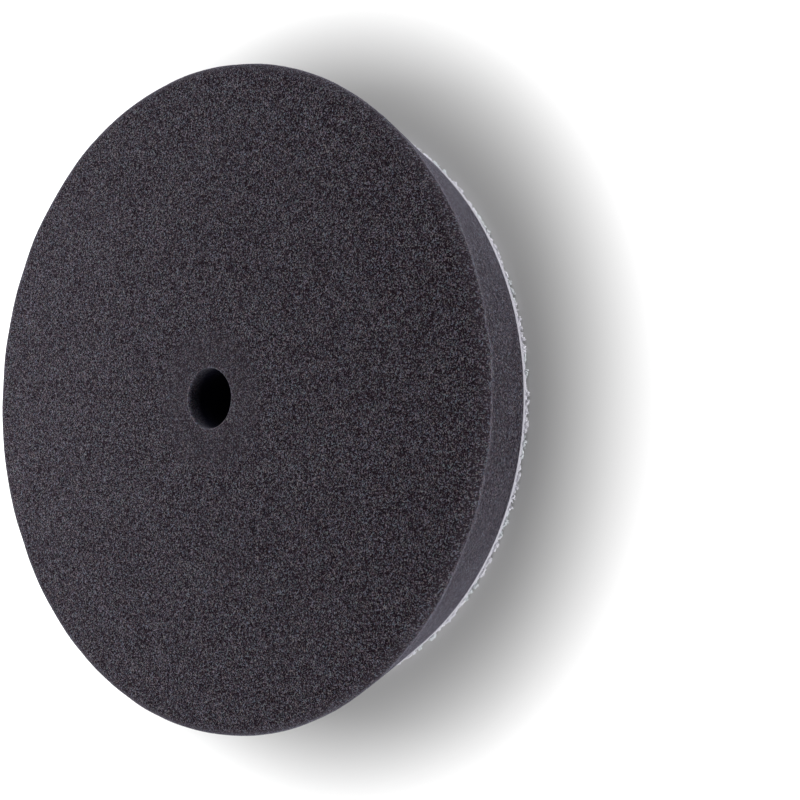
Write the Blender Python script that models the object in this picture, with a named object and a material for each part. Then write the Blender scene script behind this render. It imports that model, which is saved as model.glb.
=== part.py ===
"""Foam polishing pad with a loop backing, for a 125 mm hook-and-loop plate.

The pad lies on its backing with the working face up. The origin is the centre of the backing's
face, +Z is the pad's axis, and lengths are in metres.
"""

import math

import bmesh
import bpy

# Driving dimensions
FACE_DIAMETER = 0.150  # widest, where the rounded edge of the working face ends
BACK_DIAMETER = 0.135  # the backing, and the foam where the backing is bonded to it
TOTAL_THICKNESS = 0.027  # foam stock of 25 mm, less the bond, and the backing
EDGE_RADIUS = 0.0025  # rounding of the working edge
HOLE_FACE_DIAMETER = 0.0135  # centre hole at the working face
HOLE_BACK_DIAMETER = 0.021  # the same hole at the backing: soft foam springs back from the punch
HOLE_RIM_RADIUS = 0.0008  # rounding of the hole's rim in the working face
BACKING_THICKNESS = 0.0015  # ground cloth and loop pile
PILE_EDGE_RADIUS = 0.0006  # the pile lies over at its cut edges
FILM_THICKNESS = 0.0003  # melted adhesive film
BOND_GAP = 0.0003  # keeps the bonded layers apart as separate solids
TURN_STEPS = 120  # facets round the axis
ARC_STEPS = 5  # facets along a rounding

# Levels and radii that follow from them
FACE_R = FACE_DIAMETER / 2
BACK_R = BACK_DIAMETER / 2
HOLE_FACE_R = HOLE_FACE_DIAMETER / 2
HOLE_BACK_R = HOLE_BACK_DIAMETER / 2
BACK_RIM = (BACK_R, BACKING_THICKNESS)
HOLE_BACK_RIM = (HOLE_BACK_R, BACKING_THICKNESS)
FILM_BOTTOM = BACKING_THICKNESS + BOND_GAP
FILM_TOP = FILM_BOTTOM + FILM_THICKNESS
FOAM_BOTTOM = FILM_TOP + BOND_GAP


def arc(centre, radius, start, end):
    """Points (r, z) on a circle, from the start angle to the end angle, both included."""
    turns = [start + (end - start) * step / ARC_STEPS for step in range(ARC_STEPS + 1)]
    return [(centre[0] + radius * math.cos(a), centre[1] + radius * math.sin(a)) for a in turns]


def tangent_angle(point, centre, radius, side):
    """Angle, at the circle's centre, where a line from the point touches the circle on one side."""
    away_r = point[0] - centre[0]
    away_z = point[1] - centre[1]
    opening = math.acos(radius / math.hypot(away_r, away_z))
    return math.atan2(away_z, away_r) + side * opening


def radius_at(level, low, high):
    """Radius on the straight line from low to high, two (r, z) points, at a level."""
    share = (level - low[1]) / (high[1] - low[1])
    return low[0] + share * (high[0] - low[0])


# The rounded working edge, and the straight side that runs from the backing's rim up to it.
EDGE_CENTRE = (FACE_R - EDGE_RADIUS, TOTAL_THICKNESS - EDGE_RADIUS)
EDGE_END = tangent_angle(BACK_RIM, EDGE_CENTRE, EDGE_RADIUS, side=1)
WORKING_EDGE = arc(EDGE_CENTRE, EDGE_RADIUS, math.pi / 2, EDGE_END)

# The hole's rounded rim, and the wall that widens from it down to the backing.
RIM_CENTRE = (HOLE_FACE_R + HOLE_RIM_RADIUS, TOTAL_THICKNESS - HOLE_RIM_RADIUS)
RIM_START = tangent_angle(HOLE_BACK_RIM, RIM_CENTRE, HOLE_RIM_RADIUS, side=-1) % math.tau
HOLE_RIM = arc(RIM_CENTRE, HOLE_RIM_RADIUS, RIM_START, math.pi / 2)


def side_radius(level):
    return radius_at(level, BACK_RIM, WORKING_EDGE[-1])


def hole_radius(level):
    return radius_at(level, HOLE_BACK_RIM, HOLE_RIM[0])


def foam_profile():
    """Half section of the foam: over the edge, down the side, in to the hole and up its wall."""
    bottom = [(side_radius(FOAM_BOTTOM), FOAM_BOTTOM), (hole_radius(FOAM_BOTTOM), FOAM_BOTTOM)]
    return WORKING_EDGE + bottom + HOLE_RIM


def film_profile():
    """Half section of the film, which fills the joint out to both cut edges."""
    outer = [(side_radius(FILM_TOP), FILM_TOP), (side_radius(FILM_BOTTOM), FILM_BOTTOM)]
    inner = [(hole_radius(FILM_BOTTOM), FILM_BOTTOM), (hole_radius(FILM_TOP), FILM_TOP)]
    return outer + inner


def backing_profile():
    """Half section of the loop backing, with its pile side down and rounded at both edges."""
    rim_centre = (BACK_R - PILE_EDGE_RADIUS, PILE_EDGE_RADIUS)
    hole_rim_centre = (HOLE_BACK_R + PILE_EDGE_RADIUS, PILE_EDGE_RADIUS)
    rim = arc(rim_centre, PILE_EDGE_RADIUS, 0, -math.pi / 2)
    hole_rim = arc(hole_rim_centre, PILE_EDGE_RADIUS, 1.5 * math.pi, math.pi)
    return [BACK_RIM] + rim + hole_rim + [HOLE_BACK_RIM]


def turned(name, profile, material, parent):
    """One closed ring, made by turning a half section once round +Z."""
    work = bmesh.new()
    points = [work.verts.new((r, 0, z)) for r, z in profile]
    edges = [work.edges.new((points[i - 1], points[i])) for i in range(len(points))]
    bmesh.ops.spin(work, geom=points + edges, cent=(0, 0, 0), axis=(0, 0, 1), dvec=(0, 0, 0),
                   angle=math.tau, steps=TURN_STEPS, use_merge=True, use_duplicate=False)
    bmesh.ops.recalc_face_normals(work, faces=work.faces)
    mesh = bpy.data.meshes.new(name)
    work.to_mesh(mesh)
    work.free()
    mesh.shade_smooth()
    mesh.set_sharp_from_angle(angle=math.radians(35))
    mesh.materials.append(material)
    piece = bpy.data.objects.new(name, mesh)
    piece.parent = parent
    bpy.context.scene.collection.objects.link(piece)
    return piece


def linear(channel):
    """One sRGB channel, 0 to 255, as the linear value that shaders take."""
    share = channel / 255
    return share / 12.92 if share <= 0.04045 else ((share + 0.055) / 1.055) ** 2.4


def finish(name, srgb, roughness):
    """A Principled material with one colour and one roughness; nothing on the pad is metal."""
    material = bpy.data.materials.new(name)
    material.use_nodes = True
    shader = material.node_tree.nodes["Principled BSDF"]
    shader.inputs["Base Color"].default_value = (*[linear(c) for c in srgb], 1)
    shader.inputs["Roughness"].default_value = roughness
    shader.inputs["Metallic"].default_value = 0
    return material


for leftover in list(bpy.data.objects):
    bpy.data.objects.remove(leftover)

pad = bpy.data.objects.new("polishing_pad", None)
pad.empty_display_size = FACE_R
bpy.context.scene.collection.objects.link(pad)

turned("foam_body", foam_profile(), finish("open_cell_foam", (62, 58, 65), 0.95), pad)
turned("adhesive_film", film_profile(), finish("melted_film", (150, 148, 152), 0.5), pad)
turned("loop_backing", backing_profile(), finish("brushed_loop_knit", (208, 206, 214), 0.9), pad)
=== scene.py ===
import math
from types import SimpleNamespace

import bpy
import numpy as np
from mathutils import Matrix, Vector


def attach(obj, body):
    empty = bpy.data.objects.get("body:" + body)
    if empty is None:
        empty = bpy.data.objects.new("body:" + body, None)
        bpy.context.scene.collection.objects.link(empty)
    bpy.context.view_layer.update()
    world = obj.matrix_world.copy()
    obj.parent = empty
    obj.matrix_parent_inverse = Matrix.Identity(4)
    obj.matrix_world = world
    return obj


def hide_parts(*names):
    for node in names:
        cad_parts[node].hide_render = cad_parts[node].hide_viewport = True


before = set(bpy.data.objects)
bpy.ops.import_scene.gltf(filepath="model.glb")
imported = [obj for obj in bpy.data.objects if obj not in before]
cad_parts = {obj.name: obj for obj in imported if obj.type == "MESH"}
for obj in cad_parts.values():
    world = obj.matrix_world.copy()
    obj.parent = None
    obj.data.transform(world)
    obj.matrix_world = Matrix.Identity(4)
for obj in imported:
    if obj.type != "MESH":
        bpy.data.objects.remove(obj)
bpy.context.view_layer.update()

# The foam body is one block of fine open-cell polyurethane foam, cut to shape with a blade, so that its
# skin is cut cells all over. The punched centre hole widens towards the back, where the soft foam sprang
# away from the punch. The whole back face is bonded to the loop backing.
MM = 0.001
LEVEL_TOLERANCE = 0.01 * MM
RIM_ROUNDING = 0.35 * MM
FILM_THICKNESS = 0.2 * MM


def radii_and_levels(node):
    """Distance from the pad's axis and height of every point of a CAD node."""
    points = np.array([v.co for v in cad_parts[node].data.vertices])
    return np.hypot(points[:, 0], points[:, 1]), points[:, 2]


foam_r, foam_z = radii_and_levels("foam_body")
cloth_r, cloth_z = radii_and_levels("loop_backing")
FACE_Z = foam_z.max()
FLAT_R = foam_r[foam_z > FACE_Z - LEVEL_TOLERANCE].max()
EDGE_ROUNDING = foam_r.max() - FLAT_R
RIM_R = foam_r.min() + RIM_ROUNDING
CLOTH_R = cloth_r.max()
CLOTH_HOLE_R = cloth_r.min()
CLOTH_TOP = cloth_z.max()
FOAM_FOOT = CLOTH_TOP + FILM_THICKNESS


def tangent_turn(point, centre, radius, side):
    """Angle at a circle's centre where a line from an (r, z) point touches the circle."""
    away = np.subtract(point, centre)
    return math.atan2(away[1], away[0]) + side * math.acos(radius / np.hypot(*away))


def on_arc(centre, radius, turn):
    """The (r, z) point at an angle on a circle."""
    return centre[0] + radius * math.cos(turn), centre[1] + radius * math.sin(turn)


def at_level(low, high, z):
    """The (r, z) point at a level on the line from low to high."""
    return low[0] + (high[0] - low[0]) * (z - low[1]) / (high[1] - low[1]), z


def line(start, end, spacing):
    """(r, z) points from start up to, but not including, end."""
    steps = max(1, round(np.hypot(*np.subtract(end, start)) / spacing))
    return [tuple(np.add(start, np.subtract(end, start) * k / steps)) for k in range(steps)]


def arc(centre, radius, start, end, spacing):
    """(r, z) points on a circle from the start angle up to, but not including, the end angle."""
    steps = max(2, round(abs(end - start) * radius / spacing))
    return [on_arc(centre, radius, start + (end - start) * k / steps) for k in range(steps)]


def band_triangles(first, second, first_start, second_start):
    """Triangles that fill the band between two rings, given the sorted angles of their points."""
    a = np.arange(len(first))
    b = np.arange(len(second))
    beside_a = (np.searchsorted(second, first, side="right") - 1) % len(second)
    beside_b = (np.searchsorted(first, second, side="left") - 1) % len(first)
    on_first = np.stack([(a - 1) % len(a) + first_start, beside_a + second_start, a + first_start], 1)
    on_second = np.stack([(b - 1) % len(b) + second_start, b + second_start, beside_b + first_start], 1)
    return np.concatenate([on_first, on_second])


def turned_skin(stretches, rng):
    """A closed skin, turned from stretches of a half section: (its (r, z) points, spacing, scatter).

    It has about one point per spacing all over. Points are scattered by a share of the spacing, so
    that no rings show. Of each point it gives the normal, the stretch and the way along the section.
    """
    fewest_in_ring = 12
    section = np.array([point for points, _, _ in stretches for point in points])
    stretch_of = np.repeat(range(len(stretches)), [len(points) for points, _, _ in stretches])
    ahead = np.roll(section, -1, 0) - section
    lengths = np.linalg.norm(ahead, axis=1)
    ahead /= lengths[:, None]
    way = ahead + np.roll(ahead, 1, 0)
    way /= np.linalg.norm(way, axis=1)[:, None]
    along = np.cumsum(lengths) - lengths
    points, normals, angles, rows, slides = [], [], [], [], []
    for k, (r, z) in enumerate(section):
        _, spacing, scatter = stretches[stretch_of[k]]
        count = max(fewest_in_ring, round(math.tau * r / spacing))
        turn = np.arange(count) + rng.uniform(-scatter, scatter, count) + rng.uniform()
        turn = np.sort(turn / count % 1) * math.tau
        slide = rng.uniform(-scatter, scatter, count) * spacing
        ring_r = r + slide * way[k, 0]
        around = np.stack([np.cos(turn), np.sin(turn)], 1)
        points.append(np.column_stack([around * ring_r[:, None], z + slide * way[k, 1]]))
        normals.append(np.column_stack([around * -way[k, 1], np.full(count, way[k, 0])]))
        angles.append(turn)
        rows.append(np.full(count, k))
        slides.append(slide)
    starts = np.cumsum([0] + [len(turn) for turn in angles])
    bands = []
    for k in range(len(section)):
        after = (k + 1) % len(section)
        bands.append(band_triangles(angles[k], angles[after], starts[k], starts[after]))
    rows = np.concatenate(rows)
    band_rows = np.repeat(range(len(section)), [len(band) for band in bands])
    return SimpleNamespace(
        points=np.concatenate(points), normals=np.concatenate(normals), triangles=np.concatenate(bands),
        stretch=stretch_of[rows], triangle_stretch=stretch_of[band_rows],
        along=along[rows] + np.concatenate(slides))


def waves(points, shortest, longest, rng, count=24):
    """Smooth unevenness of about -1 to 1: plane waves with random ways, lengths and phases."""
    total = np.zeros(len(points))
    for _ in range(count):
        way = rng.normal(size=3)
        way *= math.tau / rng.uniform(shortest, longest) / np.linalg.norm(way)
        total += np.sin(points @ way + rng.uniform(0, math.tau))
    return total / math.sqrt(count)


def make_piece(name, points, triangles, flat, values):
    """A smooth mesh object with its baking map, flat, one (u, v) for each corner of each triangle,
    and named values, one for each point, which its material reads."""
    mesh = bpy.data.meshes.new(name)
    mesh.from_pydata(points.tolist(), [], triangles.tolist())
    mesh.shade_smooth()
    mesh.uv_layers.new(name="OFBake").data.foreach_set("uv", flat.astype(np.float32).ravel())
    for value_name, value in values.items():
        attribute = mesh.attributes.new(value_name, "FLOAT", "POINT")
        attribute.data.foreach_set("value", value.astype(np.float32))
    piece = bpy.data.objects.new(name, mesh)
    bpy.context.scene.collection.objects.link(piece)
    return piece


# Its half section runs up the wall of the hole, over the hole's rim, out across the face, round the edge,
# down the side and back in along the bonded back. The straight stretches touch both roundings.
FACE_STEP = 0.56 * MM
EDGE_STEP = 0.6 * MM
SIDE_STEP = 0.76 * MM
HOLE_STEP = 0.62 * MM
BACK_STEP = 4 * MM
ROW = 0.87  # rows of even triangles are this share of their side apart
edge_centre = (FLAT_R, FACE_Z - EDGE_ROUNDING)
edge_end = tangent_turn((CLOTH_R, CLOTH_TOP), edge_centre, EDGE_ROUNDING, 1)
rim_centre = (RIM_R, FACE_Z - RIM_ROUNDING)
rim_start = tangent_turn((CLOTH_HOLE_R, CLOTH_TOP), rim_centre, RIM_ROUNDING, -1) % math.tau
side_top = on_arc(edge_centre, EDGE_ROUNDING, edge_end)
side_foot = at_level((CLOTH_R, CLOTH_TOP), side_top, FOAM_FOOT)
wall_top = on_arc(rim_centre, RIM_ROUNDING, rim_start)
wall_foot = at_level((CLOTH_HOLE_R, CLOTH_TOP), wall_top, FOAM_FOOT)
WALL, RIM, FACE, EDGE, SIDE, BACK = range(6)
foam_rng = np.random.default_rng(7)
foam_skin = turned_skin([
    (line(wall_foot, wall_top, HOLE_STEP * ROW), HOLE_STEP, 0.25),
    (arc(rim_centre, RIM_ROUNDING, rim_start, math.pi / 2, HOLE_STEP / 4), HOLE_STEP, 0.1),
    (line((RIM_R, FACE_Z), (FLAT_R, FACE_Z), FACE_STEP * ROW), FACE_STEP, 0.3),
    (arc(edge_centre, EDGE_ROUNDING, math.pi / 2, edge_end, EDGE_STEP * ROW), EDGE_STEP, 0.2),
    (line(side_top, side_foot, SIDE_STEP * ROW), SIDE_STEP, 0.25),
    (line(side_foot, wall_foot, BACK_STEP), BACK_STEP / 2, 0.0),
], foam_rng)

# Cut cells leave strut tips at the blade's level and pits below it. They are finer than the mesh can
# hold, so the mesh has pits at its own spacing, and the material has the rest. The cut sways a little.
PIT_DEPTHS = np.array([0.05, 0.05, 0.14, 0.03, 0.09, 0.0]) * MM  # in the order of the stretches
SWAYS = np.array([0.14, 0.10, 0.05, 0.06, 0.08, 0.0]) * MM
SWAY_LENGTHS = (6 * MM, 30 * MM)
pit = foam_rng.uniform(size=len(foam_skin.points)) ** 2
sway = waves(foam_skin.points, *SWAY_LENGTHS, foam_rng) * SWAYS[foam_skin.stretch]
lift = sway + (pit.mean() - pit) * PIT_DEPTHS[foam_skin.stretch]

# How open the cells look: 1 on most of the skin, and less where the cut dragged them shut, on the wall of
# the hole and at its mouth. More open cells show darker, so a little more openness on the rounded edge is
# painted shade, and a ragged line of little openness along the edge's foot is a painted highlight where
# the edge turns into the side.
WALL_OPEN = 0.3
MOUTH_OPEN = 0.75
MOUTH_WIDTHS = (0.5 * MM, 1.2 * MM)
EDGE_DEPTHS = [0, 0.2, 0.85, 1.35, 2.05]  # below the face, as shares of the rounding
# On the rounded edge this paints shade, and at the edge's foot it paints a pale highlight line.
EDGE_OPEN = [1, 1.1, 1.1, 0.23, 1]
RAGGED = 0.08
RAGGED_LENGTHS = (1 * MM, 5 * MM)
skin_r = np.hypot(foam_skin.points[:, 0], foam_skin.points[:, 1])
below_face = FACE_Z - foam_skin.points[:, 2]
down_edge = below_face / EDGE_ROUNDING
ragged = RAGGED * waves(foam_skin.points, *RAGGED_LENGTHS, foam_rng)
by_edge = np.interp(down_edge + ragged, EDGE_DEPTHS, EDGE_OPEN)
by_mouth = np.interp(skin_r - RIM_R, MOUTH_WIDTHS, [MOUTH_OPEN, 1])
is_wall = np.isin(foam_skin.stretch, (WALL, RIM))
is_face = foam_skin.stretch == FACE
is_edge = foam_skin.stretch == EDGE
open_cells = np.select([is_wall, is_face], [WALL_OPEN, by_mouth], by_edge)

# Round the hole and on the rounded edge the skin is rubbed, so its grain is partly evened out. Down the
# wall of the hole the colour is painted darker with depth, and a little blue: painted shade, where little
# light gets down.
EVENED = 0.3
EVENED_RADII = (13 * MM, 18 * MM)
EVENED_DEPTHS = [0, 0.1, 1, 1.25]  # below the face, as shares of the rounding
DARK_DEPTHS = np.array([0.05, 0.2, 1.9, 3.3, 4.7]) * MM
DARK_SHARES = [0, 0.5, 0.5, 0.74, 1]
round_hole = np.interp(skin_r, EVENED_RADII, [EVENED, 0])
on_edge = np.interp(down_edge, EVENED_DEPTHS, [0, EVENED, EVENED, 0])
evened = np.select([is_face, is_edge], [round_hole, on_edge], 0)
# Painted shade: down the wall of the hole the colour is darkened more and more with depth.
hole_painted_shade = np.interp(below_face, DARK_DEPTHS, DARK_SHARES) * is_wall

# The baking map is the skin laid out flat as a disc: the wall in the middle, the face, then the side.
# The hidden back is a small disc in a corner.
DISC_HALF = 0.495
DISC_CORE = 1 * MM
CORNER_AT = 0.085
CORNER_HALF = 0.08
face_from = foam_skin.along[is_face].min()
side_to = foam_skin.along[foam_skin.stretch == SIDE].max() + SIDE_STEP
disc_r = RIM_R + side_to - face_from
flat_r = np.interp(foam_skin.along, [0, face_from, side_to], [DISC_CORE, RIM_R, disc_r]) / disc_r
around = foam_skin.points[:, :2] / skin_r[:, None]
disc = 0.5 + DISC_HALF * flat_r[:, None] * around
corner_disc = CORNER_AT + CORNER_HALF * foam_skin.points[:, :2] / CLOTH_R
is_back = (foam_skin.triangle_stretch == BACK)[:, None, None]
foam_flat = np.where(is_back, corner_disc[foam_skin.triangles], disc[foam_skin.triangles])
foam = make_piece("foam_pad", foam_skin.points + foam_skin.normals * lift[:, None], foam_skin.triangles,
                  foam_flat, {"open_cells": open_cells, "evened": evened, "hole_painted_shade": hole_painted_shade})


def linear(code):
    """A hex sRGB colour as the linear colour that shaders take."""
    parts = [int(code[i:i + 2], 16) / 255 for i in (1, 3, 5)]
    return (*[c / 12.92 if c <= 0.04045 else ((c + 0.055) / 1.055) ** 2.4 for c in parts], 1.0)


def add(tree, kind, settings=None, inputs=None, stops=()):
    """Adds a node with its settings, its inputs, which are plain values or other nodes' sockets, and
    for a ramp its stops, which are (place, hex colour) pairs."""
    node = tree.nodes.new(kind)
    for name, value in (settings or {}).items():
        setattr(node, name, value)
    for name, value in (inputs or {}).items():
        if isinstance(value, bpy.types.NodeSocket):
            tree.links.new(value, node.inputs[name])
        else:
            node.inputs[name].default_value = value
    for index, (place, code) in enumerate(stops):
        elements = node.color_ramp.elements
        stop = elements[index] if index < len(elements) else elements.new(place)
        stop.position = place
        stop.color = linear(code)
    return node


def new_material(name, inputs):
    """A material, with its node tree and its Principled shader, which has these inputs."""
    material = bpy.data.materials.new(name)
    material.use_nodes = True
    shader = material.node_tree.nodes["Principled BSDF"]
    for socket, value in inputs.items():
        shader.inputs[socket].default_value = value
    return material, material.node_tree, shader


# Open-cell polyurethane foam, dyed black and cut: dark pits between paler struts, dead matt, with a pale
# bloom at grazing angles, where the strut tips hide the pits. The 0.22 mm cells come out about a pixel
# wide. They are longer along the pad's axis, the way the foam rose, and each took the dye in its own way.
CELL = 0.22 * MM
RISE = 0.6  # a cell's width as a share of its height
foam_black, tree, shader = new_material("cut_open_cell_polyurethane_foam", {
    "Roughness": 0.95, "Specular IOR Level": 0.02,
    "Sheen Weight": 0.36, "Sheen Roughness": 0.3, "Sheen Tint": linear("#CCCBE0")})
place = add(tree, "ShaderNodeTexCoord").outputs["Object"]
risen = add(tree, "ShaderNodeMapping", None, {"Vector": place, "Scale": (1, 1, RISE)})
cells = add(tree, "ShaderNodeTexVoronoi", {"feature": "F1"}, {
    "Vector": risen.outputs["Vector"], "Scale": 1 / CELL})
chance = add(tree, "ShaderNodeSeparateColor", None, {"Color": cells.outputs["Color"]})
strut = add(tree, "ShaderNodeMapRange", None, {
    "Value": cells.outputs["Distance"],
    "From Min": 0.1, "From Max": 0.75, "To Min": -0.45, "To Max": 0.3})
height = add(tree, "ShaderNodeMath", {"operation": "ADD"}, {
    0: chance.outputs["Red"], 1: strut.outputs["Result"]})
below_tip = add(tree, "ShaderNodeMath", {"operation": "SUBTRACT"}, {0: height.outputs["Value"], 1: 1.0})
openness = add(tree, "ShaderNodeAttribute", {"attribute_name": "open_cells"}).outputs["Fac"]
opened = add(tree, "ShaderNodeMath", {"operation": "MULTIPLY_ADD", "use_clamp": True}, {
    0: below_tip.outputs["Value"], 1: openness, 2: 1.0})
tone = add(tree, "ShaderNodeValToRGB", None, {"Fac": opened.outputs["Value"]}, [
    (0.0, "#110A0F"), (0.35, "#160E13"), (0.6, "#271F25"), (0.8, "#3B383E"), (1.0, "#696B72")])
red_dye = add(tree, "ShaderNodeMapRange", None, {
    "Value": chance.outputs["Green"], "To Min": 0.78, "To Max": 1.32})
blue_dye = add(tree, "ShaderNodeMapRange", None, {
    "Value": chance.outputs["Blue"], "To Min": 0.84, "To Max": 1.22})
uneven = add(tree, "ShaderNodeCombineColor", None, {
    "Red": red_dye.outputs["Result"], "Green": 1.0, "Blue": blue_dye.outputs["Result"]})
dyed = add(tree, "ShaderNodeMix", {"data_type": "RGBA", "blend_type": "MULTIPLY"}, {
    "Factor": 1.0, "A": tone.outputs["Color"], "B": uneven.outputs["Color"]})
colour = dyed.outputs["Result"]
# The wall of the hole is mixed towards a near-black blue by depth: painted shade.
for value_name, even_tone in (("evened", "#363238"), ("hole_painted_shade", "#030318")):
    share = add(tree, "ShaderNodeAttribute", {"attribute_name": value_name}).outputs["Fac"]
    colour = add(tree, "ShaderNodeMix", {"data_type": "RGBA"}, {
        "Factor": share, "A": colour, "B": linear(even_tone)}).outputs["Result"]
tree.links.new(colour, shader.inputs["Base Color"])
grain = add(tree, "ShaderNodeBump", None, {
    "Strength": 0.35, "Distance": 0.25 * MM, "Height": opened.outputs["Value"]})
tree.links.new(grain.outputs["Normal"], shader.inputs["Normal"])
foam.data.materials.append(foam_black)
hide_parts("foam_body")
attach(foam, "root")

# The adhesive film is a web of hot-melt glue, pressed between the foam and the cloth until it ran.
# Only its edge shows, as a thin dull line in the joint.
FILM_INSET = 0.15 * MM
FILM_STEP = 0.8 * MM
FILM_GAP = 0.02 * MM
FILM_RUN = 0.05 * MM
FILM_RUN_LENGTHS = (2 * MM, 9 * MM)
PLAN_HALF = 0.49
film_low = CLOTH_TOP + FILM_GAP
film_high = FOAM_FOOT - FILM_GAP
film_in = wall_foot[0] + FILM_INSET
film_out = side_foot[0] - FILM_INSET
film_rng = np.random.default_rng(11)
film_skin = turned_skin([
    (line((film_in, film_low), (film_in, film_high), FILM_THICKNESS), FILM_STEP, 0.2),
    (line((film_in, film_high), (film_out, film_high), BACK_STEP), FILM_STEP, 0.0),
    (line((film_out, film_high), (film_out, film_low), FILM_THICKNESS), FILM_STEP, 0.2),
    (line((film_out, film_low), (film_in, film_low), BACK_STEP), FILM_STEP, 0.0),
], film_rng)
film_run = waves(film_skin.points, *FILM_RUN_LENGTHS, film_rng) * FILM_RUN
outward = film_skin.points * (1, 1, 0)
outward /= np.linalg.norm(outward, axis=1)[:, None]
film_points = film_skin.points + outward * film_run[:, None]
film_flat = 0.5 + PLAN_HALF * film_skin.points[film_skin.triangles][:, :, :2] / CLOTH_R
film = make_piece("glue_film", film_points, film_skin.triangles, film_flat, {})

# Hot-melt copolyamide, melted and set: a waxy grey in paler and darker runs, smoother than the foam and
# the cloth.
GLUE_RUN = 1.5 * MM
glue, tree, shader = new_material("melted_copolyamide_glue", {"Roughness": 0.45, "IOR": 1.5})
place = add(tree, "ShaderNodeTexCoord").outputs["Object"]
runs = add(tree, "ShaderNodeTexNoise", None, {"Vector": place, "Scale": 1 / GLUE_RUN, "Detail": 3})
wax = add(tree, "ShaderNodeValToRGB", None, {"Fac": runs.outputs["Fac"]}, [
    (0.3, "#6E6C72"), (0.7, "#9A98A0")])
tree.links.new(wax.outputs["Color"], shader.inputs["Base Color"])
film.data.materials.append(glue)
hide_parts("adhesive_film")
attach(film, "root")

# The ground cloth is a warp-knitted nylon ring, cut with the foam, so its edge shows as a bright line.
# Its back is brushed, and printed with rings of dashes and dots.
GROUND = 0.95 * MM
CLOTH_STEP = 0.56 * MM
RIM_STEP = 0.7 * CLOTH_STEP
CUT_ROW = 0.24 * MM
NAP = 0.09 * MM
FUZZ_SHARE = 0.6
TUFT_SHARE = 0.5
CUT_FUZZ = 0.5
TUFT_LENGTHS = (0.8 * MM, 2.4 * MM)
cloth_low = CLOTH_TOP - GROUND
cloth_rng = np.random.default_rng(23)
CUT_IN, TOP, CUT_OUT, NAP_SIDE = range(4)
cloth_skin = turned_skin([
    (line((CLOTH_HOLE_R, cloth_low), (CLOTH_HOLE_R, CLOTH_TOP), CUT_ROW), CLOTH_STEP, 0.2),
    (line((CLOTH_HOLE_R, CLOTH_TOP), (CLOTH_R, CLOTH_TOP), BACK_STEP), BACK_STEP / 2, 0.0),
    (line((CLOTH_R, CLOTH_TOP), (CLOTH_R, cloth_low), CUT_ROW), RIM_STEP, 0.2),
    (line((CLOTH_R, cloth_low), (CLOTH_HOLE_R, cloth_low), CLOTH_STEP * ROW), CLOTH_STEP, 0.3),
], cloth_rng)
is_cut = np.isin(cloth_skin.stretch, (CUT_IN, CUT_OUT))
is_nap = cloth_skin.stretch == NAP_SIDE
fuzz = cloth_rng.uniform(-1, 1, len(cloth_skin.points)) * np.select([is_cut, is_nap], [CUT_FUZZ, 1], 0)
tuft = waves(cloth_skin.points, *TUFT_LENGTHS, cloth_rng) * (cloth_skin.stretch != TOP)
cloth_lift = (fuzz * FUZZ_SHARE + tuft * TUFT_SHARE) * NAP
cloth_points = cloth_skin.points + cloth_skin.normals * cloth_lift[:, None]

# The print is rings of green dashes with pairs of navy dots between them. It is worn off at the rim.
RING_PITCH = 11.2 * MM
LAST_RING = 4
REPEAT = 17 * MM
RING_SHIFT = 0.37  # each ring is turned by this share of a repeat against the one outside it
DASH_SHARE = 0.34
DASH_START = 0.1
DASH_HALF = 1.1 * MM
DOTS_AT = (0.74, 0.86)
DOT_R = 0.8 * MM
INK_BLUR = 0.35 * MM
WORN_WIDTHS = (0.5 * MM, 2.5 * MM)
INK_LEFT = (0.1, 1)


def ink(points):
    """How much green and navy ink lies at each point of the back."""
    r = np.hypot(points[:, 0], points[:, 1])
    ring = np.clip(np.round((CLOTH_R - r) / RING_PITCH), 0, LAST_RING)
    ring_r = CLOTH_R - ring * RING_PITCH
    repeats = np.round(math.tau * ring_r / REPEAT)
    turn = np.arctan2(points[:, 1], points[:, 0]) / math.tau * repeats + RING_SHIFT * ring
    pitch = math.tau * ring_r / repeats
    off = np.abs(r - ring_r)
    from_dash = np.abs(turn % 1 - DASH_SHARE / 2 - DASH_START) * pitch - DASH_SHARE / 2 * pitch
    green = np.clip(0.5 - np.maximum(from_dash, off - DASH_HALF) / INK_BLUR, 0, 1)
    to_dot = np.minimum(*[np.abs(turn % 1 - dot) for dot in DOTS_AT]) * pitch
    navy = np.clip(0.5 - (np.hypot(to_dot, off) - DOT_R) / INK_BLUR, 0, 1)
    unworn = np.interp(CLOTH_R - r, WORN_WIDTHS, INK_LEFT)
    return {"green_ink": green * unworn, "navy_ink": navy * unworn}


def plan(points, triangles):
    """A baking map seen straight down the pad's axis."""
    return 0.5 + PLAN_HALF * points[triangles][:, :, :2] / foam_r.max()


# Along the cut edges the cloth's colour is mixed towards grey by this share: painted shade.
CUT_EDGE_SHADE = 0.46
cloth_values = {name: amount * is_nap for name, amount in ink(cloth_points).items()}
cloth_values["cut_edge_painted_shade"] = CUT_EDGE_SHADE * is_cut
cloth = make_piece("ground_cloth", cloth_points, cloth_skin.triangles,
                   plan(cloth_points, cloth_skin.triangles), cloth_values)

# Brushed nylon knit: pale grey with a lavender cast and a soft bloom, in fibres too fine to part, so their
# noise is drawn coarser, at 0.3 mm. The print has sunk into the nap and has soft edges. Along the cut the
# colour is painted greyer, as painted shade on the cut edge.
FIBRE = 0.3 * MM


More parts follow.
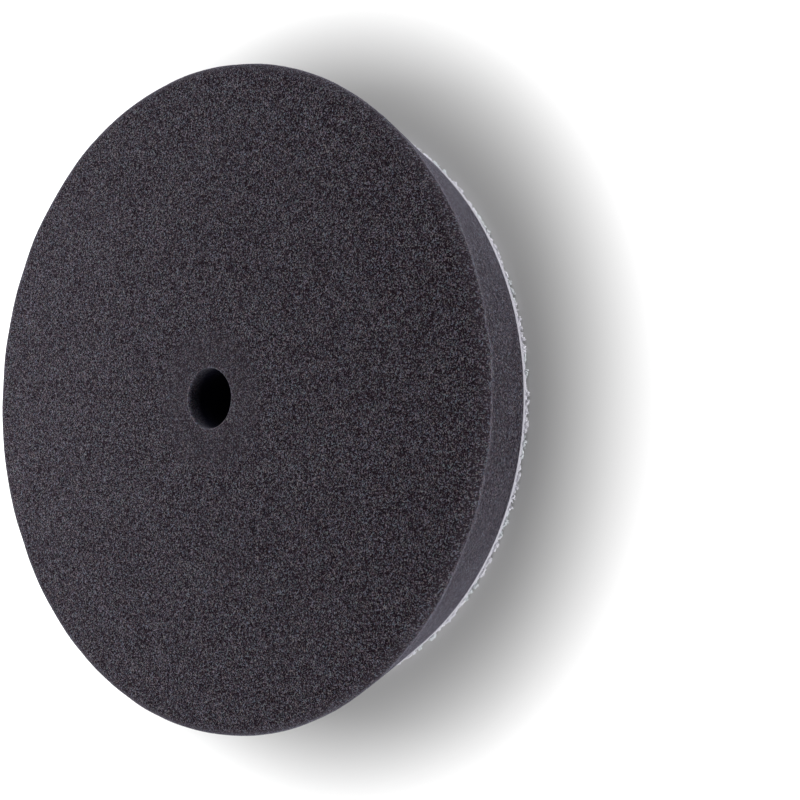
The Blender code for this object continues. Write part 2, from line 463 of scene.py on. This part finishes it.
def nylon(name, low, high):
    """Nylon fibre between two tones, with the inks, and the painted shade on the cut edge, that the mesh
    has.
    """
    material, tree, shader = new_material(name, {
        "Roughness": 0.85, "IOR": 1.53, "Specular IOR Level": 0.3,
        "Sheen Weight": 0.25, "Sheen Roughness": 0.4, "Sheen Tint": linear("#F0F0FA")})
    place = add(tree, "ShaderNodeTexCoord").outputs["Object"]
    fibres = add(tree, "ShaderNodeTexNoise", None, {
        "Vector": place, "Scale": 1 / FIBRE, "Detail": 4, "Roughness": 0.7, "Distortion": 1.5})
    tone = add(tree, "ShaderNodeValToRGB", None, {"Fac": fibres.outputs["Fac"]}, [
        (0.25, low), (0.7, high)])
    colour = tone.outputs["Color"]
    # The grey on the cut edge is painted shade; the green and navy are print.
    for value_name, dye in (
            ("green_ink", "#1FAE78"), ("navy_ink", "#2B2F63"), ("cut_edge_painted_shade", "#77757F")):
        share = add(tree, "ShaderNodeAttribute", {"attribute_name": value_name}).outputs["Fac"]
        colour = add(tree, "ShaderNodeMix", {"data_type": "RGBA"}, {
            "Factor": share, "A": colour, "B": linear(dye)}).outputs["Result"]
    tree.links.new(colour, shader.inputs["Base Color"])
    nap = add(tree, "ShaderNodeBump", None, {
        "Strength": 0.4, "Distance": 0.15 * MM, "Height": fibres.outputs["Fac"]})
    tree.links.new(nap.outputs["Normal"], shader.inputs["Normal"])
    return material


cloth.data.materials.append(nylon("brushed_nylon_knit", "#C4C2CC", "#E9E8F0"))
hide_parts("loop_backing")
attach(cloth, "root")

# The loop pile stands out of the cloth's back in arches of nylon yarn, which the plate's hooks catch. It
# is knitted in with the cloth, and the pad's weight lays the arches over.
YARN_R = 0.055 * MM
YARN_SIDES = 3
YARN_SEGMENTS = 6
ARCH_FULLNESS = 0.8  # 1 is a half wave, and less is fuller
PILE_FLOOR = 0.03 * MM
PILE_COUNT = 5000
ROOT_INSET = 0.1 * MM
ROOT_LEVEL = cloth_low + 0.05 * MM
PILE_LEAN = 0.8
PILE_WIDTHS = (0.6, 1.6)  # this and the next two in millimetres
PILE_HEIGHTS = (0.3, 0.55)
PILE_CURL = 0.3


def yarn_loops(roots, along, lift, width, height, curl):
    """Arches of yarn on roots: each runs width along one way, rises by height along lift, and bends
    aside by curl on its way. It gives points, triangles and the loop that each point is on."""
    t = np.linspace(0, 1, YARN_SEGMENTS + 1)[None, :, None]
    aside = np.cross(along, lift)
    aside /= np.linalg.norm(aside, axis=1)[:, None]
    path = roots[:, None] + (along * width[:, None])[:, None] * (t - 0.5)
    path = path + (lift * height[:, None])[:, None] * np.sin(math.pi * t) ** ARCH_FULLNESS
    path = path + (aside * curl[:, None])[:, None] * np.sin(math.tau * t)
    path[:, :, 2] = np.maximum(path[:, :, 2], PILE_FLOOR + YARN_R)
    way = np.gradient(path, axis=1)
    way /= np.linalg.norm(way, axis=2)[:, :, None]
    across = np.cross(way, np.cross(aside[:, None], way))
    across /= np.linalg.norm(across, axis=2)[:, :, None]
    other = np.cross(way, across)
    turns = np.arange(YARN_SIDES) * math.tau / YARN_SIDES
    ring = across[:, :, None] * np.cos(turns)[:, None] + other[:, :, None] * np.sin(turns)[:, None]
    points = (path[:, :, None] + ring * YARN_R).reshape(-1, 3)
    side = np.arange(YARN_SIDES)
    beside = (side + 1) % YARN_SIDES
    pairs = np.concatenate([np.stack([side, beside, side + YARN_SIDES], 1),
                            np.stack([beside, beside + YARN_SIDES, side + YARN_SIDES], 1)])
    rows = np.arange(YARN_SEGMENTS)[:, None, None] * YARN_SIDES
    tube = (pairs[None] + rows).reshape(-1, 3)
    ends = np.array([side[::-1], side + YARN_SEGMENTS * YARN_SIDES])
    one = np.concatenate([tube, ends])
    per_loop = (YARN_SEGMENTS + 1) * YARN_SIDES
    triangles = (one[None] + np.arange(len(roots))[:, None, None] * per_loop).reshape(-1, 3)
    return points, triangles, np.repeat(np.arange(len(roots)), per_loop)


def unit(angle):
    """Level unit vectors at these angles."""
    return np.column_stack([np.cos(angle), np.sin(angle), np.zeros(len(angle))])


def upright(amount):
    """Vectors along the pad's axis of these lengths."""
    return np.column_stack([np.zeros((len(amount), 2)), amount])


pile_rng = np.random.default_rng(31)
pile_r = np.sqrt(pile_rng.uniform(CLOTH_HOLE_R ** 2, CLOTH_R ** 2, PILE_COUNT)) - ROOT_INSET
pile_roots = unit(pile_rng.uniform(0, math.tau, PILE_COUNT)) * pile_r[:, None]
pile_roots[:, 2] = ROOT_LEVEL
lean_way = unit(pile_rng.uniform(0, math.tau, PILE_COUNT))
pile_lift = lean_way * pile_rng.uniform(0, PILE_LEAN, (PILE_COUNT, 1)) - (0, 0, 1)
pile_along = unit(pile_rng.uniform(0, math.tau, PILE_COUNT))
pile_width = pile_rng.uniform(*PILE_WIDTHS, PILE_COUNT) * MM
pile_height = pile_rng.uniform(*PILE_HEIGHTS, PILE_COUNT) * MM
pile_curl = pile_rng.normal(0, PILE_CURL, PILE_COUNT) * MM
pile_points, pile_triangles, pile_loop = yarn_loops(
    pile_roots, pile_along, pile_lift, pile_width, pile_height, pile_curl)
pile_ink = {name: amount[pile_loop] for name, amount in ink(pile_roots).items()}
pile = make_piece("loop_pile", pile_points, pile_triangles, plan(pile_points, pile_triangles), pile_ink)

# Along the cut edges the loops spring out past the foam, in tufts with strays between them. They are the
# same nylon yarn, pulled loose by the cut, and longest on one side of the pad.
TUFTS = 420
LOOPS_IN_TUFT = 10
TUFT_SPREAD = 0.22 * MM
TUFT_SIZES = (0.3, 1.0)
STRAYS = 600
STRAY_SIZE = 0.8
HOLE_LOOPS = 160
LONGEST_AT = math.radians(-112)
MEAN_LENGTH = 0.75
LENGTH_SWING = 0.45
RIM_LEVELS = (0.3, 0.8)  # this and the next four in millimetres
LEAST_REACH = 0.12
TUFT_REACH = 0.7
RIM_WIDTHS = (0.15, 0.55)
RIM_CURL = 0.15
REACH_SHARES = (0.4, 1)
LIFT_SLOPES = (-0.5, 0.4)
TILT = 0.6
tuft_turn = np.repeat(pile_rng.uniform(0, math.tau, TUFTS), LOOPS_IN_TUFT)
tuft_size = np.repeat(pile_rng.uniform(*TUFT_SIZES, TUFTS) ** 1.5, LOOPS_IN_TUFT)
tuft_turn += pile_rng.normal(0, TUFT_SPREAD / CLOTH_R, len(tuft_turn))
rim_turn = np.concatenate([tuft_turn, pile_rng.uniform(0, math.tau, STRAYS + HOLE_LOOPS)])
rim_size = np.concatenate([tuft_size, pile_rng.uniform(0, STRAY_SIZE, STRAYS + HOLE_LOOPS) ** 2])
count = len(rim_turn)
at_hole = np.arange(count) >= count - HOLE_LOOPS
length = MEAN_LENGTH + LENGTH_SWING * np.cos(rim_turn - LONGEST_AT)
rim_out = unit(rim_turn) * np.where(at_hole, -1, 1)[:, None]
root_r = np.where(at_hole, CLOTH_HOLE_R + ROOT_INSET, CLOTH_R - ROOT_INSET)
rim_roots = unit(rim_turn) * root_r[:, None]
rim_roots[:, 2] = pile_rng.uniform(*RIM_LEVELS, count) * MM
rim_lift = rim_out + upright(pile_rng.uniform(*LIFT_SLOPES, count))
rim_along = np.cross(rim_out, (0, 0, 1)) + upright(pile_rng.normal(0, TILT, count))
reach = LEAST_REACH + TUFT_REACH * rim_size * length * pile_rng.uniform(*REACH_SHARES, count)
rim_width = pile_rng.uniform(*RIM_WIDTHS, count) * MM
rim_curl = pile_rng.normal(0, RIM_CURL, count) * MM
rim_points, rim_triangles, rim_loop = yarn_loops(
    rim_roots, rim_along, rim_lift, rim_width, reach * MM, rim_curl)
rim_ink = {name: amount[rim_loop] for name, amount in ink(rim_roots).items()}
rim_loops = make_piece("rim_loops", rim_points, rim_triangles, plan(rim_points, rim_triangles), rim_ink)

# Crimped nylon yarn: a paler, cleaner white than the matted nap, with the same soft bloom.
yarn = nylon("crimped_nylon_yarn", "#DEDDE6", "#FAF9FF")
for loops in (pile, rim_loops):
    loops.data.materials.append(yarn)
    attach(loops, "root")

# The studio is a sweep of paper in a dim white room. Away from the pad the paper glows plain white to the
# camera, and round the pad the glow fades out, so that the grey paper is seen as it is lit and keeps the
# pad's shadow. The fading glow also paints a grey halo all round the pad, on its lit side too: a painted
# shadow.
FLOOR_HALF = 3.0
PAINTED_HALO_R = 1.7 * CLOTH_R
GLOW_IN_PAINTED_HALO = 0.04
ROOM_LIGHT = 0.2
floor_mesh = bpy.data.meshes.new("floor")
floor_corners = [(-1, -1), (1, -1), (1, 1), (-1, 1)]
floor_mesh.from_pydata([(x * FLOOR_HALF, y * FLOOR_HALF, 0) for x, y in floor_corners], [], [(0, 1, 2, 3)])
floor = bpy.data.objects.new("floor", floor_mesh)
bpy.context.scene.collection.objects.link(floor)


def seen_directly(tree):
    """1 for rays from the camera, and for those that a shine or glass turns aside, and otherwise 0."""
    path = add(tree, "ShaderNodeLightPath")
    shine = add(tree, "ShaderNodeMath", {"operation": "MAXIMUM"}, {
        0: path.outputs["Is Glossy Ray"], 1: path.outputs["Is Transmission Ray"]})
    return add(tree, "ShaderNodeMath", {"operation": "MAXIMUM"}, {
        0: path.outputs["Is Camera Ray"], 1: shine.outputs["Value"]}).outputs["Value"]


# Uncoated paper: dead matt.
paper, tree, shader = new_material("uncoated_paper_sweep", {
    "Base Color": linear("#B8B8B8"), "Roughness": 1.0, "Specular IOR Level": 0.0,
    "Emission Color": (1, 1, 1, 1)})
place = add(tree, "ShaderNodeTexCoord").outputs["Object"]
away = add(tree, "ShaderNodeVectorMath", {"operation": "LENGTH"}, {0: place})
# Painted shadow: towards the pad the camera's glow fades, leaving a grey halo all round it.
glow = add(tree, "ShaderNodeMapRange", {"interpolation_type": "SMOOTHSTEP"}, {
    "Value": away.outputs["Value"],
    "From Min": CLOTH_R, "From Max": PAINTED_HALO_R, "To Min": GLOW_IN_PAINTED_HALO, "To Max": 1.0})
lit = add(tree, "ShaderNodeMath", {"operation": "MULTIPLY"}, {
    0: glow.outputs["Result"], 1: seen_directly(tree)})
tree.links.new(lit.outputs["Value"], shader.inputs["Emission Strength"])
floor.data.materials.append(paper)

world = bpy.data.worlds.new("white_room")
bpy.context.scene.world = world
world.use_nodes = True
room_level = add(world.node_tree, "ShaderNodeMapRange", None, {
    "Value": seen_directly(world.node_tree), "To Min": ROOM_LIGHT, "To Max": 1.0})
room = world.node_tree.nodes["Background"]
room.inputs["Color"].default_value = (1, 1, 1, 1)
world.node_tree.links.new(room_level.outputs["Result"], room.inputs["Strength"])


def softbox(name, location, size, power):
    """A square studio softbox, turned to the pad. Its place and size are in metres."""
    lamp = bpy.data.lights.new(name, "AREA")
    lamp.size = size
    lamp.energy = power
    stand = bpy.data.objects.new(name, lamp)
    stand.location = location
    stand.rotation_euler = (Vector((0, 0, FACE_Z)) - Vector(location)).to_track_quat("-Z", "Y").to_euler()
    stand.visible_camera = False
    bpy.context.scene.collection.objects.link(stand)


# Softboxes stand over the far rim and on both sides. One far off and low lights the near side, and a
# small low one behind catches the far edge.
softbox("far_softbox", (0.0, 0.19, 0.175), 0.2, 0.66)
softbox("near_softbox", (-0.05, -0.9, 0.05), 0.12, 6.9)
softbox("right_softbox", (0.30, -0.03, 0.14), 0.22, 0.61)
softbox("left_softbox", (-0.30, -0.02, 0.15), 0.22, 0.6)
softbox("back_softbox", (0.0, 0.5, 0.012), 0.02, 0.9)

# The camera looks down on the pad from the near side. It lies on its side, so the pad's axis points left.
CAMERA_AT = (0.0, -257.3 * MM, 283.2 * MM)
LOOK_DOWN = math.radians(51.63)
LOOK_ASIDE = math.radians(0.28)
ROLL = math.radians(87.81)
camera = bpy.data.cameras.new("camera")
camera.sensor_width = 36
camera.lens = 72.5
camera.clip_start = 0.01
tripod = bpy.data.objects.new("camera", camera)
level_way = Vector((math.sin(LOOK_ASIDE), math.cos(LOOK_ASIDE), 0))
looking = level_way * math.cos(LOOK_DOWN) - Vector((0, 0, math.sin(LOOK_DOWN)))
facing = looking.to_track_quat("-Z", "Y").to_matrix().to_4x4()
tripod.matrix_world = Matrix.Translation(CAMERA_AT) @ facing @ Matrix.Rotation(-ROLL, 4, "Z")
bpy.context.scene.collection.objects.link(tripod)
bpy.context.scene.camera = tripod
bpy.context.scene.view_settings.view_transform = "Standard"
